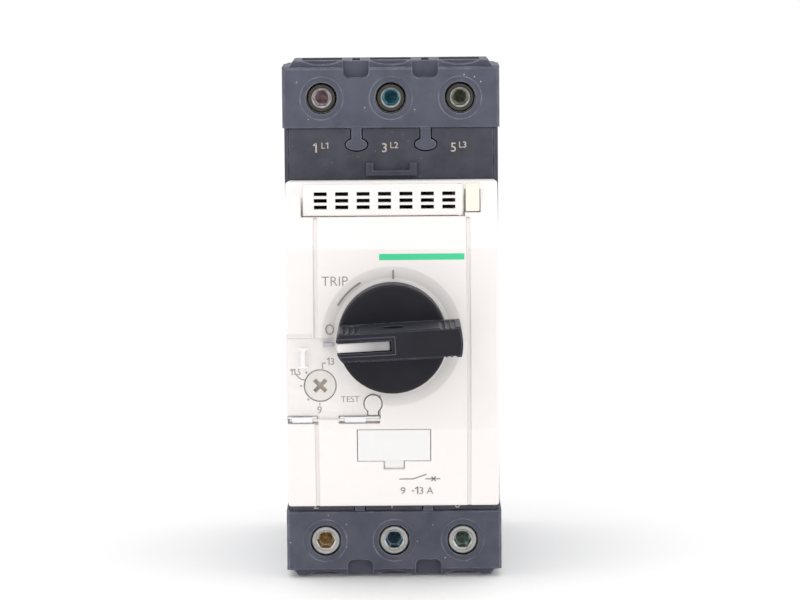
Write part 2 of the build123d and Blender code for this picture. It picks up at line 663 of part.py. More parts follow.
def build_parts():
    """All sub-parts by name, in the order they would come off a bench."""
    upper_block = terminal_block()
    upper_strip = marking_strip()
    parts = {
        "base_housing": base_housing(),
        "mid_housing": mid_housing(),
        "front_cover": front_cover(),
        "terminal_block_top": upper_block,
        "terminal_block_bottom": mirror_z(upper_block),
        "marking_strip_top": upper_strip,
        "marking_strip_bottom": mirror_z(upper_strip),
        "strip_latch": strip_latch(),
        "housing_screws": group([
            rod("y", x, z, 2.4, -3, -0.8) + rod("y", x, z, 1.2, -64, -2)
            for x in WALLS for z in (53, -53)]),
        "aux_flap": aux_flap(),
        "aux_flap_pin": aux_flap_pin(),
        "flap_stop": flap_stop(),
        "aux_socket": aux_socket(),
        "clear_lid": clear_lid(),
        "lid_hinge_pin": lid_hinge_pin(),
        "seal_staple": seal_staple(),
        "marker_plate": marker_plate(),
        "knob": knob(),
        "padlock_tongue": padlock_tongue(),
        "knob_shaft": rod("y", 0, KNOB_Z, 3.0, SHAFT_TIP_Y, -70.5),
        "shaft_bush": shaft_bush(),
        "drive_cam": drive_cam(),
        "mechanism_frame": mechanism_frame(),
        "setting_dial": setting_dial(),
        "test_button": test_button(),
        "test_spring": along_y(coil_spring(1.7, 0.4, 4, 3.7), TEST_X, -101.75, TEST_Z),
        "rail_latch": rail_latch(),
        "rail_latch_spring": Pos(0, 3.5, -43.95) * coil_spring(1.4, 0.5, 8, 13.9),
        "line_cages": group([cage(x, 1) for x in POLES]),
        "load_cages": group([cage(x, -1) for x in POLES]),
        "line_links": group([terminal_link(x, 1) for x in POLES]),
        "load_links": group([terminal_link(x, -1) for x in POLES]),
        "coil_links": each_pole(coil_link),
        "fixed_tips": group([tip for x in POLES for tip in fixed_tips(x)]),
        "contact_carrier": contact_carrier(),
        "moving_contacts": each_pole(moving_contact),
        "contact_springs": group([along_y(coil_spring(3.8, 0.6, 4, 16.4), x, -52.45, 20) for x in POLES]),
        "return_springs": group([along_y(coil_spring(1.8, 0.4, 3, 3.75), x, -76.98, KNOB_Z) for x in (-6, 6)]),
        "magnet_coils": each_pole(magnet_coil),
        "coil_yokes": each_pole(coil_yoke),
        "plungers": each_pole(plunger),
        "bimetals": each_pole(bimetal),
        "heaters": each_pole(heater),
        "arc_plates": group([plate for x in POLES for plate in arc_plates(x)]),
        "arc_cheeks": group([wall for x in POLES for wall in arc_cheeks(x)]),
        "trip_bar": trip_bar(),
    }
    for number, x in enumerate(POLES, 1):
        for name, side, face_y in (("line", 1, LINE_SCREW_Y), ("load", -1, LOAD_SCREW_Y)):
            parts[f"{name}_screw_{number}"] = terminal_screw(x, side, face_y)
            parts[f"{name}_plate_{number}"] = pressure_plate(x, side, face_y)
    return parts


os.makedirs("parts", exist_ok=True)
for node, shape in build_parts().items():
    export_step(shape, f"parts/{node}.step")
    print(node)
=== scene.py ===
"""Looks of a three-pole motor protection breaker with a rotary handle.

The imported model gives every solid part, in metres.  Each section below finishes one
piece or one group of like pieces of the breaker, in the order it is put together.
"""
from math import atan2, cos, pi, radians, sin

import bpy
import numpy as np
from mathutils import Matrix, Vector


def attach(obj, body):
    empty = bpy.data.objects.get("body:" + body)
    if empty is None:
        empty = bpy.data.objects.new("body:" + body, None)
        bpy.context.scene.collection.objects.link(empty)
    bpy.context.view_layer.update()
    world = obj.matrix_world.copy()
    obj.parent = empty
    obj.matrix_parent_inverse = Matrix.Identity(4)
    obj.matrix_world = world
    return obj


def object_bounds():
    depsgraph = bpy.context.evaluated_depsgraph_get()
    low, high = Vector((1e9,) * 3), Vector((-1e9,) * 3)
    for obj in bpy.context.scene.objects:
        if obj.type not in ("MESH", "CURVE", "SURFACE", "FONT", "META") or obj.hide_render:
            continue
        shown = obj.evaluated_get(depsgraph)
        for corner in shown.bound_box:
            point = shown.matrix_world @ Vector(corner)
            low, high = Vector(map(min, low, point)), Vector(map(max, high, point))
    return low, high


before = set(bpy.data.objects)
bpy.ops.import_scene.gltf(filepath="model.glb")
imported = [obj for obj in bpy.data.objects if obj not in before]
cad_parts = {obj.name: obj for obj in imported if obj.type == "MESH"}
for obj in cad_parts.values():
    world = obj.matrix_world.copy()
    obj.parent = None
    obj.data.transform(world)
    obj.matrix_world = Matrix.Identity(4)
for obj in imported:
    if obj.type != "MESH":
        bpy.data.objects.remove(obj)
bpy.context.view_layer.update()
MM = 0.001


# ---- Stage: a pale floor under the breaker, a far-off camera a little above it and
# large soft lights all round, as in a light tent.
def look(place, aim, roll):
    """World matrix that looks from place to aim, turned about its axis by roll."""
    ahead = (Vector(aim) - Vector(place)).normalized()
    right = ahead.cross(Vector((0, 0, 1))).normalized()
    up = right.cross(ahead)
    side = right * cos(roll) - up * sin(roll)
    top = right * sin(roll) + up * cos(roll)
    matrix = Matrix((side, top, -ahead)).transposed().to_4x4()
    matrix.translation = Vector(place)
    return matrix


def add_camera():
    """Long lens, 930 mm from the breaker, 6.6 degrees above level and rolled by half a degree."""
    aim = Vector((1.945, -77.0, 5.28)) * MM
    distance = 930 * MM
    tilt = radians(6.6)
    data = bpy.data.cameras.new("camera")
    data.lens = 164.8
    data.sensor_width = 36
    data.clip_start = 0.01
    camera = bpy.data.objects.new("camera", data)
    camera.matrix_world = look(aim + distance * Vector((0, -cos(tilt), sin(tilt))), aim, radians(0.45))
    bpy.context.scene.collection.objects.link(camera)
    bpy.context.scene.camera = camera


def add_softbox(name, place, aim, size, power):
    """Rectangular lamp at place that looks at aim, sizes in metres and power in watts."""
    data = bpy.data.lights.new(name, "AREA")
    data.shape = "RECTANGLE"
    data.size = size[0]
    data.size_y = size[1]
    data.energy = power
    lamp = bpy.data.objects.new(name, data)
    lamp.matrix_world = look(place, aim, 0)
    bpy.context.scene.collection.objects.link(lamp)


def plain_material(name, colour, roughness):
    """Even matt colour."""
    material = bpy.data.materials.new(name)
    material.use_nodes = True
    shader = material.node_tree.nodes["Principled BSDF"]
    shader.inputs["Base Color"].default_value = (*colour, 1)
    shader.inputs["Roughness"].default_value = roughness
    return material


def add_floor():
    """Plain sheet just below the breaker's lowest point."""
    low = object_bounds()[0][2] - 0.0004
    mesh = bpy.data.meshes.new("floor")
    reach = 14.0
    mesh.from_pydata([(-reach, -reach, low), (reach, -reach, low), (reach, reach, low), (-reach, reach, low)],
                     [], [(0, 1, 2, 3)])
    floor = bpy.data.objects.new("floor", mesh)
    paper = plain_material("floor_paper", (0.97, 0.97, 0.97), 0.95)
    glow = paper.node_tree.nodes["Principled BSDF"]
    glow.inputs["Emission Color"].default_value = (1, 1, 1, 1)
    glow.inputs["Emission Strength"].default_value = 0.08
    mesh.materials.append(paper)
    bpy.context.scene.collection.objects.link(floor)


def add_world():
    """White light from all sides."""
    world = bpy.data.worlds.new("tent")
    world.use_nodes = True
    sky = world.node_tree.nodes["Background"]
    sky.inputs["Color"].default_value = (1.0, 1.0, 1.0, 1)
    sky.inputs["Strength"].default_value = 1.02
    bpy.context.scene.world = world


add_camera()
add_floor()
add_world()
add_softbox("key", (-0.45, -0.75, 0.75), (0, -0.05, 0), (0.5, 0.5), 1.0)
add_softbox("fill", (0.75, -0.8, 0.35), (0, -0.05, 0), (0.4, 0.6), 0.5)
add_softbox("top", (0.0, -0.1, 0.9), (0, -0.05, 0), (0.9, 0.9), 0.4)
bpy.context.scene.view_settings.view_transform = "Standard"


# ---- Black housings: base, middle frame, terminal blocks and rail foot are moulded in
# glass-filled nylon.  The skin is matt slate black with a fine grain, paler along the
# edges (wear and a painted edge highlight), with a little dust.
def new_group(name, inputs, outputs):
    """Shader group with named sockets; returns the tree, its input node and its output node."""
    tree = bpy.data.node_groups.new(name, "ShaderNodeTree")
    for title, kind, value in inputs:
        socket = tree.interface.new_socket(name=title, in_out="INPUT", socket_type="NodeSocket" + kind)
        socket.default_value = value
    for title, kind in outputs:
        tree.interface.new_socket(name=title, in_out="OUTPUT", socket_type="NodeSocket" + kind)
    return tree, tree.nodes.new("NodeGroupInput"), tree.nodes.new("NodeGroupOutput")


def add_node(tree, kind, values=None, **settings):
    """Node with settings as attributes and socket values by name or number."""
    node = tree.nodes.new("ShaderNode" + kind)
    for key, value in settings.items():
        setattr(node, key, value)
    for key, value in (values or {}).items():
        node.inputs[key].default_value = value
    return node


def math(tree, operation, a, b=None):
    """Math node on two sockets or numbers; returns its output."""
    node = add_node(tree, "Math", operation=operation)
    for place, value in enumerate((a, b)):
        if value is None:
            continue
        if isinstance(value, (int, float)):
            node.inputs[place].default_value = value
        else:
            tree.links.new(value, node.inputs[place])
    return node.outputs[0]


def ramp(tree, value, low, high):
    """Maps low..high to 0..1, clamped."""
    node = add_node(tree, "MapRange", clamp=True)
    tree.links.new(value, node.inputs["Value"])
    for title, end in (("From Min", low), ("From Max", high)):
        if isinstance(end, (int, float)):
            node.inputs[title].default_value = end
        else:
            tree.links.new(end, node.inputs[title])
    return node.outputs["Result"]


def mix(tree, share, a, b):
    """Colour mix of sockets or RGB values; returns the colour."""
    node = add_node(tree, "Mix", data_type="RGBA")
    for title, value in ((0, share), (6, a), (7, b)):
        if isinstance(value, (int, float)):
            node.inputs[title].default_value = value
        elif isinstance(value, tuple):
            node.inputs[title].default_value = (*value, 1)
        else:
            tree.links.new(value, node.inputs[title])
    return node.outputs[2]


def make_edge_group():
    """Edge mask: how far the surface normal turns within a small radius, and the rounded normal."""
    tree, given, out = new_group("edge_wear_and_highlight", [("Radius", "Float", 0.0003), ("Patchiness", "Float", 0.5)],
                                 [("Mask", "Float"), ("Normal", "Vector")])
    bevel = add_node(tree, "Bevel", samples=4)
    tree.links.new(given.outputs["Radius"], bevel.inputs["Radius"])
    face = add_node(tree, "NewGeometry")
    dot = add_node(tree, "VectorMath", operation="DOT_PRODUCT")
    tree.links.new(bevel.outputs["Normal"], dot.inputs[0])
    tree.links.new(face.outputs["Normal"], dot.inputs[1])
    turn = ramp(tree, dot.outputs["Value"], 0.995, 0.80)
    place = add_node(tree, "TexCoord")
    patches = add_node(tree, "TexNoise", {"Scale": 320.0, "Detail": 3.0})
    tree.links.new(place.outputs["Object"], patches.inputs["Vector"])
    patchy = ramp(tree, patches.outputs["Fac"], math(tree, "MULTIPLY", given.outputs["Patchiness"], 0.5), 0.75)
    tree.links.new(math(tree, "MULTIPLY", turn, patchy), out.inputs["Mask"])
    tree.links.new(bevel.outputs["Normal"], out.inputs["Normal"])
    return tree


def make_dust_group():
    """Scattered specks of lint: small round cells whose random number is high enough."""
    tree, given, out = new_group("dust", [("Spacing", "Float", 0.002), ("Amount", "Float", 0.1)],
                                 [("Mask", "Float")])
    place = add_node(tree, "TexCoord")
    scaled = add_node(tree, "VectorMath", operation="DIVIDE")
    tree.links.new(place.outputs["Object"], scaled.inputs[0])
    tree.links.new(given.outputs["Spacing"], scaled.inputs[1])
    cells = add_node(tree, "TexVoronoi", {"Scale": 1.0, "Randomness": 1.0})
    tree.links.new(scaled.outputs[0], cells.inputs["Vector"])
    shade = add_node(tree, "SeparateColor")
    tree.links.new(cells.outputs["Color"], shade.inputs[0])
    chosen = math(tree, "LESS_THAN", shade.outputs[0], given.outputs["Amount"])
    size = math(tree, "MULTIPLY", shade.outputs[1], 0.11)
    speck = math(tree, "LESS_THAN", cells.outputs["Distance"], size)
    tree.links.new(math(tree, "MULTIPLY", chosen, speck), out.inputs["Mask"])
    return tree


def make_skin_group():
    """Moulded skin: spark-eroded grain as height, slow blotches and fine mottling as shares."""
    tree, given, out = new_group("moulded_skin", [("Grain", "Float", 0.00035), ("Blotch", "Float", 0.012)],
                                 [("Height", "Float"), ("Mottle", "Float"), ("Blotches", "Float")])
    place = add_node(tree, "TexCoord")
    heights = []
    for socket, detail in (("Grain", 4.0), ("Blotch", 2.0)):
        scaled = add_node(tree, "VectorMath", operation="DIVIDE")
        tree.links.new(place.outputs["Object"], scaled.inputs[0])
        tree.links.new(given.outputs[socket], scaled.inputs[1])
        noise = add_node(tree, "TexNoise", {"Scale": 1.0, "Detail": detail, "Roughness": 0.6})
        tree.links.new(scaled.outputs[0], noise.inputs["Vector"])
        heights.append(noise.outputs["Fac"])
    tree.links.new(heights[0], out.inputs["Height"])
    tree.links.new(ramp(tree, heights[0], 0.3, 0.7), out.inputs["Mottle"])
    tree.links.new(ramp(tree, heights[1], 0.3, 0.7), out.inputs["Blotches"])
    return tree


EDGE = make_edge_group()
DUST = make_dust_group()
SKIN = make_skin_group()


def use_group(tree, group, **values):
    """Group node with socket values by name."""
    node = tree.nodes.new("ShaderNodeGroup")
    node.node_tree = group
    for title, value in values.items():
        node.inputs[title].default_value = value
    return node


def moulded_plastic(name, colour, pale, worn, roughness=0.5, grain=0.0003, depth=0.00002,
                    radius=0.0003, dust=0.0, edge=1.0, specular=0.5, blotch=0.012):
    """Grained plastic: base colour mottled towards a paler one, worn colour on the edges, lint on top.
    Where the worn colour is paler than the base it is wear together with a painted edge highlight;
    where it is darker it draws dark outlines.
    """
    material = bpy.data.materials.new(name)
    material.use_nodes = True
    tree = material.node_tree
    shader = tree.nodes["Principled BSDF"]
    skin = use_group(tree, SKIN, Grain=grain, Blotch=blotch)
    rim = use_group(tree, EDGE, Radius=radius)
    blotched = mix(tree, math(tree, "MULTIPLY", skin.outputs["Blotches"], 0.8), colour, pale)
    mottled = mix(tree, math(tree, "MULTIPLY", skin.outputs["Mottle"], 0.35), blotched, pale)
    # edge colour: wear plus a painted edge highlight where it is paler than the base, dark outlines where it
    # is darker
    edged = mix(tree, math(tree, "MULTIPLY", rim.outputs["Mask"], edge), mottled, worn)
    if dust:
        lint = use_group(tree, DUST, Spacing=0.0014, Amount=dust)
        edged = mix(tree, math(tree, "MULTIPLY", lint.outputs["Mask"], 0.75), edged, (0.75, 0.74, 0.72))
    tree.links.new(edged, shader.inputs["Base Color"])
    rough = math(tree, "MULTIPLY", skin.outputs["Mottle"], 0.12)
    tree.links.new(math(tree, "ADD", rough, roughness), shader.inputs["Roughness"])
    shader.inputs["Specular IOR Level"].default_value = specular
    bump = add_node(tree, "Bump", {"Strength": 0.6, "Distance": depth})
    tree.links.new(skin.outputs["Height"], bump.inputs["Height"])
    tree.links.new(rim.outputs["Normal"], bump.inputs["Normal"])
    tree.links.new(bump.outputs["Normal"], shader.inputs["Normal"])
    return material


def finish_nodes(material, *names):
    """Give carried-over solids their material."""
    for name in names:
        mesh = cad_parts[name].data
        mesh.materials.clear()
        mesh.materials.append(material)


housing_black = moulded_plastic("housing_black", (0.050, 0.056, 0.085), (0.088, 0.094, 0.132),
                                (0.50, 0.52, 0.61), roughness=0.48, grain=0.0005, radius=0.0004, dust=0.34,
                                blotch=0.005)
finish_nodes(housing_black, "base_housing", "mid_housing", "terminal_block_top", "terminal_block_bottom",
             "rail_latch")
strip_black = moulded_plastic("strip_black", (0.030, 0.032, 0.046), (0.062, 0.064, 0.088),
                              (0.30, 0.31, 0.38), roughness=0.55, grain=0.0005, dust=0.34, blotch=0.005)
finish_nodes(strip_black, "marking_strip_top", "marking_strip_bottom", "strip_latch")
socket_black = moulded_plastic("socket_black", (0.026, 0.019, 0.015), (0.060, 0.045, 0.035),
                               (0.08, 0.07, 0.07), roughness=0.6)
finish_nodes(socket_black, "aux_socket")


# ---- Cover, flap, filler and marker plate: satin cream-white moulding with hardly any
# grain, clipped together over the black housings.
cover_white = moulded_plastic("cover_white", (0.90, 0.855, 0.835), (0.92, 0.88, 0.862), (0.97, 0.95, 0.94),
                              roughness=0.42, grain=0.0004, depth=0.000006, radius=0.0004, dust=0.01)
finish_nodes(cover_white, "front_cover", "lid_hinge_pin")
flap_white = moulded_plastic("flap_white", (0.89, 0.86, 0.845), (0.92, 0.89, 0.875), (0.97, 0.95, 0.94),
                             roughness=0.42, grain=0.0004, depth=0.000006, radius=0.00025)
finish_nodes(flap_white, "aux_flap")
filler_cream = moulded_plastic("filler_cream", (0.88, 0.86, 0.74), (0.90, 0.88, 0.78), (0.97, 0.95, 0.90),
                               roughness=0.42, grain=0.0004, depth=0.000006)
finish_nodes(filler_cream, "flap_stop")
plate_white = moulded_plastic("plate_white", (0.84, 0.835, 0.82), (0.87, 0.86, 0.85), (0.95, 0.94, 0.93),
                              roughness=0.38, grain=0.0005, depth=0.000004, radius=0.0002)
finish_nodes(plate_white, "marker_plate")


# ---- Handle, padlock tongue, setting dial, test button and seal staple: the parts that a
# hand or a tool touches.  The handle is smooth black nylon with painted highlights; the others
# are pale mouldings held in the cover.
knob_black = moulded_plastic("knob_black", (0.008, 0.008, 0.012), (0.016, 0.016, 0.024), (0.32, 0.32, 0.38),
                             roughness=0.36, grain=0.00022, depth=0.000012, radius=0.00028, dust=0.08,
                             specular=0.22)


def add_painted_lever_highlights(material):
    """Painted highlights: paler colour on the flank that looks up, and a paler bevel line round the padlock
    slot.
    """
    tree = material.node_tree
    shader = tree.nodes["Principled BSDF"]
    worn = shader.inputs["Base Color"].links[0].from_socket
    place = add_node(tree, "TexCoord")
    turned = add_node(tree, "VectorRotate", rotation_type="Y_AXIS")
    turned.inputs["Center"].default_value = (0, 0, -0.0003)
    turned.inputs["Angle"].default_value = radians(2.8)
    tree.links.new(place.outputs["Object"], turned.inputs["Vector"])
    axes = add_node(tree, "SeparateXYZ")
    tree.links.new(turned.outputs["Vector"], axes.inputs[0])
    # the slot's middle line is 0.45 mm above the handle axis, which is itself at z = -0.3 mm
    across = math(tree, "ABSOLUTE", math(tree, "SUBTRACT", axes.outputs["Z"], 0.00015))
    beyond = math(tree, "MAXIMUM", math(tree, "SUBTRACT", across, 0.00215),
                  math(tree, "SUBTRACT", axes.outputs["X"], 0.00075))
    outline = math(tree, "LESS_THAN", math(tree, "ABSOLUTE", beyond), 0.00010)
    front = math(tree, "LESS_THAN", axes.outputs["Y"], -0.1283)
    share = math(tree, "MULTIPLY", math(tree, "MULTIPLY", outline, front), 0.8)
    # paler line round the padlock slot: painted highlight on the bevel's edge
    lined = mix(tree, share, worn, (0.10, 0.10, 0.12))
    # paler colour where the flank faces up: painted highlight from the light above
    face = add_node(tree, "NewGeometry")
    facing = add_node(tree, "SeparateXYZ")
    tree.links.new(face.outputs["Normal"], facing.inputs[0])
    above = ramp(tree, facing.outputs["Z"], 0.6, 0.9)
    forward = math(tree, "LESS_THAN", axes.outputs["Y"], -0.1128)
    tree.links.new(mix(tree, math(tree, "MULTIPLY", above, forward), lined, (0.030, 0.031, 0.042)),
                   shader.inputs["Base Color"])


add_painted_lever_highlights(knob_black)
finish_nodes(knob_black, "knob")
tongue_grey = moulded_plastic("tongue_grey", (0.30, 0.285, 0.29), (0.36, 0.345, 0.35), (0.6, 0.6, 0.6),
                              roughness=0.45, grain=0.0003, depth=0.000006)


def add_fade(material, start, end, colour):
    """Colour that fades out along X, in mm, from start to end."""
    tree = material.node_tree
    shader = tree.nodes["Principled BSDF"]
    under = shader.inputs["Base Color"].links[0].from_socket
    place = add_node(tree, "TexCoord")
    axes = add_node(tree, "SeparateXYZ")
    tree.links.new(place.outputs["Object"], axes.inputs[0])
    tree.links.new(mix(tree, ramp(tree, axes.outputs["X"], start * MM, end * MM), colour, under),
                   shader.inputs["Base Color"])


# paler towards the tongue's left end: painted highlight where its face catches the light
add_fade(tongue_grey, -13.5, -4.0, (0.86, 0.82, 0.82))
finish_nodes(tongue_grey, "padlock_tongue")
dial_beige = moulded_plastic("dial_beige", (0.78, 0.74, 0.70), (0.82, 0.78, 0.74), (0.35, 0.28, 0.20),
                             roughness=0.4, grain=0.0003, depth=0.000006, radius=0.00015)


def add_sunk_colour(material, x, z, reach, depth, colour):
    """Another colour below a depth, in mm, within reach of an axis that runs along Y."""
    tree = material.node_tree
    shader = tree.nodes["Principled BSDF"]
    above = shader.inputs["Base Color"].links[0].from_socket
    place = add_node(tree, "TexCoord")
    axes = add_node(tree, "SeparateXYZ")
    tree.links.new(place.outputs["Object"], axes.inputs[0])
    sunk = math(tree, "GREATER_THAN", axes.outputs["Y"], depth * MM)
    near = math(tree, "LESS_THAN", axis_distance(tree, axes, x, z), reach * MM)
    tree.links.new(mix(tree, math(tree, "MULTIPLY", sunk, near), above, colour), shader.inputs["Base Color"])


def axis_distance(tree, axes, x, z):
    """Distance of the shaded point from the axis through x, z, in mm, that runs along Y."""
    across = math(tree, "SUBTRACT", axes.outputs["X"], x * MM)
    along = math(tree, "SUBTRACT", axes.outputs["Z"], z * MM)
    square = math(tree, "ADD", math(tree, "MULTIPLY", across, across), math(tree, "MULTIPLY", along, along))
    return math(tree, "SQRT", square)


# darker brown in the dial's slot below its face: painted shade in the recess
add_sunk_colour(dial_beige, -17.9, -12.55, 2.4, -105.15, (0.40, 0.33, 0.25))
finish_nodes(dial_beige, "setting_dial")
button_cream = moulded_plastic("button_cream", (0.82, 0.79, 0.76), (0.86, 0.83, 0.80), (0.95, 0.93, 0.92),
                               roughness=0.4, grain=0.0003, depth=0.000006, radius=0.0002)
finish_nodes(button_cream, "test_button")
# near-black edge colour: painted shade in the gap round the staple
staple_grey = moulded_plastic("staple_grey", (0.42, 0.42, 0.47), (0.58, 0.58, 0.62), (0.01, 0.01, 0.02),
                              roughness=0.25, grain=0.0003, depth=0.000004, radius=0.0002)
finish_nodes(staple_grey, "seal_staple")


# ---- Sealing lid: clear moulding over the dial, hinged along its lower edge.  Its panes
# hardly show; the knuckles and the raised grip are thick enough to look white.
def clear_plastic():
    """Clear moulding, drawn as a thin film: nearly invisible panes, pale edges, knuckles and raised grip."""
    material = bpy.data.materials.new("clear_plastic")
    material.use_nodes = True
    tree = material.node_tree
    shader = tree.nodes["Principled BSDF"]
    shader.inputs["Base Color"].default_value = (0.95, 0.94, 0.94, 1)
    shader.inputs["Roughness"].default_value = 0.12
    place = add_node(tree, "TexCoord")
    axes = add_node(tree, "SeparateXYZ")
    tree.links.new(place.outputs["Object"], axes.inputs[0])
    raised = math(tree, "LESS_THAN", axes.outputs["Y"], -0.10655)
    knuckle = math(tree, "LESS_THAN", axes.outputs["Z"], -0.0203)
    smears = add_node(tree, "TexNoise", {"Scale": 260.0, "Detail": 3.0})
    tree.links.new(place.outputs["Object"], smears.inputs["Vector"])
    rim = use_group(tree, EDGE, Radius=0.0002)
    body = math(tree, "ADD", math(tree, "MULTIPLY", ramp(tree, smears.outputs["Fac"], 0.4, 0.8), 0.06), 0.03)
    body = math(tree, "MAXIMUM", body, math(tree, "MULTIPLY", rim.outputs["Mask"], 0.35))
    body = math(tree, "MAXIMUM", body, math(tree, "MULTIPLY", knuckle, 0.92))
    body = math(tree, "MAXIMUM", body, math(tree, "MULTIPLY", raised, 0.85))
    tree.links.new(body, shader.inputs["Alpha"])
    tree.links.new(rim.outputs["Normal"], shader.inputs["Normal"])
    return material


finish_nodes(clear_plastic(), "clear_lid")


# ---- Metal and the inner pieces: zinc-plated clamps and frames, screws with painted light on their heads, springs,
# copper links, silver tips and steel cores, with fibre cheeks and brown phenolic between.
def plated_metal(name, colour, tint, roughness=0.3, scratch=0.0004, metallic=1.0):
    """Plated or bare metal: tint in slow clouds, fine scratches in roughness and bump."""
    material = bpy.data.materials.new(name)
    material.use_nodes = True
    tree = material.node_tree
    shader = tree.nodes["Principled BSDF"]
    shader.inputs["Metallic"].default_value = metallic
    skin = use_group(tree, SKIN, Grain=scratch, Blotch=0.003)
    rim = use_group(tree, EDGE, Radius=0.00015)
    shade = mix(tree, skin.outputs["Blotches"], colour, tint)
    # edges painted paler: painted highlight
    bright = tuple(min(1.0, c * 1.5) for c in colour)
    shade = mix(tree, math(tree, "MULTIPLY", rim.outputs["Mask"], 0.6), shade, bright)
    tree.links.new(shade, shader.inputs["Base Color"])
    rough = math(tree, "MULTIPLY", skin.outputs["Mottle"], 0.25)
    tree.links.new(math(tree, "ADD", rough, roughness), shader.inputs["Roughness"])
    bump = add_node(tree, "Bump", {"Strength": 0.5, "Distance": 0.00001})
    tree.links.new(skin.outputs["Height"], bump.inputs["Height"])
    tree.links.new(rim.outputs["Normal"], bump.inputs["Normal"])
    tree.links.new(bump.outputs["Normal"], shader.inputs["Normal"])
    return material


zinc = plated_metal("zinc_plate", (0.62, 0.61, 0.58), (0.66, 0.64, 0.52))
finish_nodes(zinc, "line_cages", "load_cages", "mechanism_frame", "coil_yokes", "aux_flap_pin",
             "knob_shaft", "housing_screws", *[f"{side}_plate_{k}" for side in ("line", "load")
                                                                 for k in (1, 2, 3)])


SCREW_Z = 56.6
POLES = (-17.5, 0.0, 17.5)


def screw_metal(name, x, z, collar, rim, socket):
    """Plated screw: collar colour outside, a painted highlight ring at the bevelled mouth, painted tinted
    reflections in the hexagon.
    """
    material = plated_metal(name, collar, tuple(0.8 * c for c in collar), 0.32)
    tree = material.node_tree
    shader = tree.nodes["Principled BSDF"]
    outside = shader.inputs["Base Color"].links[0].from_socket
    place = add_node(tree, "TexCoord")
    axes = add_node(tree, "SeparateXYZ")
    tree.links.new(place.outputs["Object"], axes.inputs[0])
    away = axis_distance(tree, axes, x, z)
    clouds = add_node(tree, "TexNoise", {"Scale": 900.0, "Detail": 2.0})
    tree.links.new(place.outputs["Object"], clouds.inputs["Vector"])
    # tinted, clouded colour in the hexagon: painted reflections
    hex_reflection = mix(tree, ramp(tree, clouds.outputs["Fac"], 0.35, 0.65), socket, tuple(0.45 * c for c in socket))
    # pale ring at the hexagon's bevelled mouth: painted highlight
    inner = mix(tree, ramp(tree, away, 0.00212, 0.00228), hex_reflection, rim)
    tree.links.new(mix(tree, ramp(tree, away, 0.00242, 0.00262), inner, outside), shader.inputs["Base Color"])
    return material


# tints of the painted reflections inside each hexagon
LINE_SOCKETS = [(0.62, 0.50, 0.53), (0.16, 0.38, 0.46), (0.36, 0.38, 0.30)]
LOAD_SOCKETS = [(0.66, 0.50, 0.29), (0.20, 0.31, 0.38), (0.36, 0.45, 0.41)]
for k, x in enumerate(POLES):
    # the line screws sit deeper, so their dark collar colour is painted shade
    finish_nodes(screw_metal(f"line_screw_painted_light_{k + 1}", x, SCREW_Z, (0.085, 0.082, 0.072),
                             (0.75, 0.75, 0.74), LINE_SOCKETS[k]),
                 f"line_screw_{k + 1}")
    finish_nodes(screw_metal(f"load_screw_painted_light_{k + 1}", x, -SCREW_Z, (0.46, 0.46, 0.45),
                             (0.80, 0.79, 0.78), LOAD_SOCKETS[k]),
                 f"load_screw_{k + 1}")
finish_nodes(plated_metal("spring_wire", (0.5, 0.5, 0.5), (0.44, 0.44, 0.46), 0.25),
             "test_spring", "rail_latch_spring", "contact_springs", "return_springs")
finish_nodes(plated_metal("machined_brass", (0.72, 0.52, 0.26), (0.62, 0.46, 0.24), 0.28),
             "shaft_bush", "drive_cam")
finish_nodes(plated_metal("bare_copper", (0.78, 0.40, 0.26), (0.62, 0.30, 0.20), 0.3),
             "line_links", "load_links", "coil_links", "moving_contacts", "magnet_coils")
finish_nodes(plated_metal("contact_silver", (0.80, 0.79, 0.76), (0.66, 0.64, 0.62), 0.35), "fixed_tips")
finish_nodes(plated_metal("core_steel", (0.40, 0.40, 0.42), (0.32, 0.31, 0.31), 0.4),
             "plungers", "arc_plates")
finish_nodes(plated_metal("bimetal_strip", (0.50, 0.47, 0.42), (0.40, 0.38, 0.40), 0.35),
             "bimetals", "heaters")
finish_nodes(moulded_plastic("pressed_fibre", (0.42, 0.20, 0.10), (0.50, 0.27, 0.15), (0.6, 0.4, 0.25),
                             roughness=0.7, depth=0.00003), "arc_cheeks")
finish_nodes(moulded_plastic("release_brown", (0.16, 0.07, 0.035), (0.20, 0.09, 0.05), (0.3, 0.2, 0.12)),
             "trip_bar", "contact_carrier")


# ---- Printing: thin grey pad print on the cover and beige print on the marking strips.
# Letters and lines are flat ink films a few hundredths of a millimetre thick.
PANEL_Y, RECESS_Y, STRIP_Y = -106.5, -105.4, -76.3
CHIN_ANGLE = atan2(7.5, 44.2 - 23.4)


def on_panel(y):
    """Places flat print (x, z in mm) on a face that looks towards -Y."""
    def place(flat):
        return np.column_stack((flat[:, 0], np.full(len(flat), y - 0.02), flat[:, 1])) * MM
    return place


def on_chin(flat):
    """Places flat print (x, distance up the chin from its upper ridge) on the sloping chin."""
    across, up = flat[:, 0], flat[:, 1]
    y = PANEL_Y - up * sin(CHIN_ANGLE) - 0.02 * cos(CHIN_ANGLE)
    z = -23.4 + up * cos(CHIN_ANGLE) - 0.02 * sin(CHIN_ANGLE)
    return np.column_stack((across, y, z)) * MM


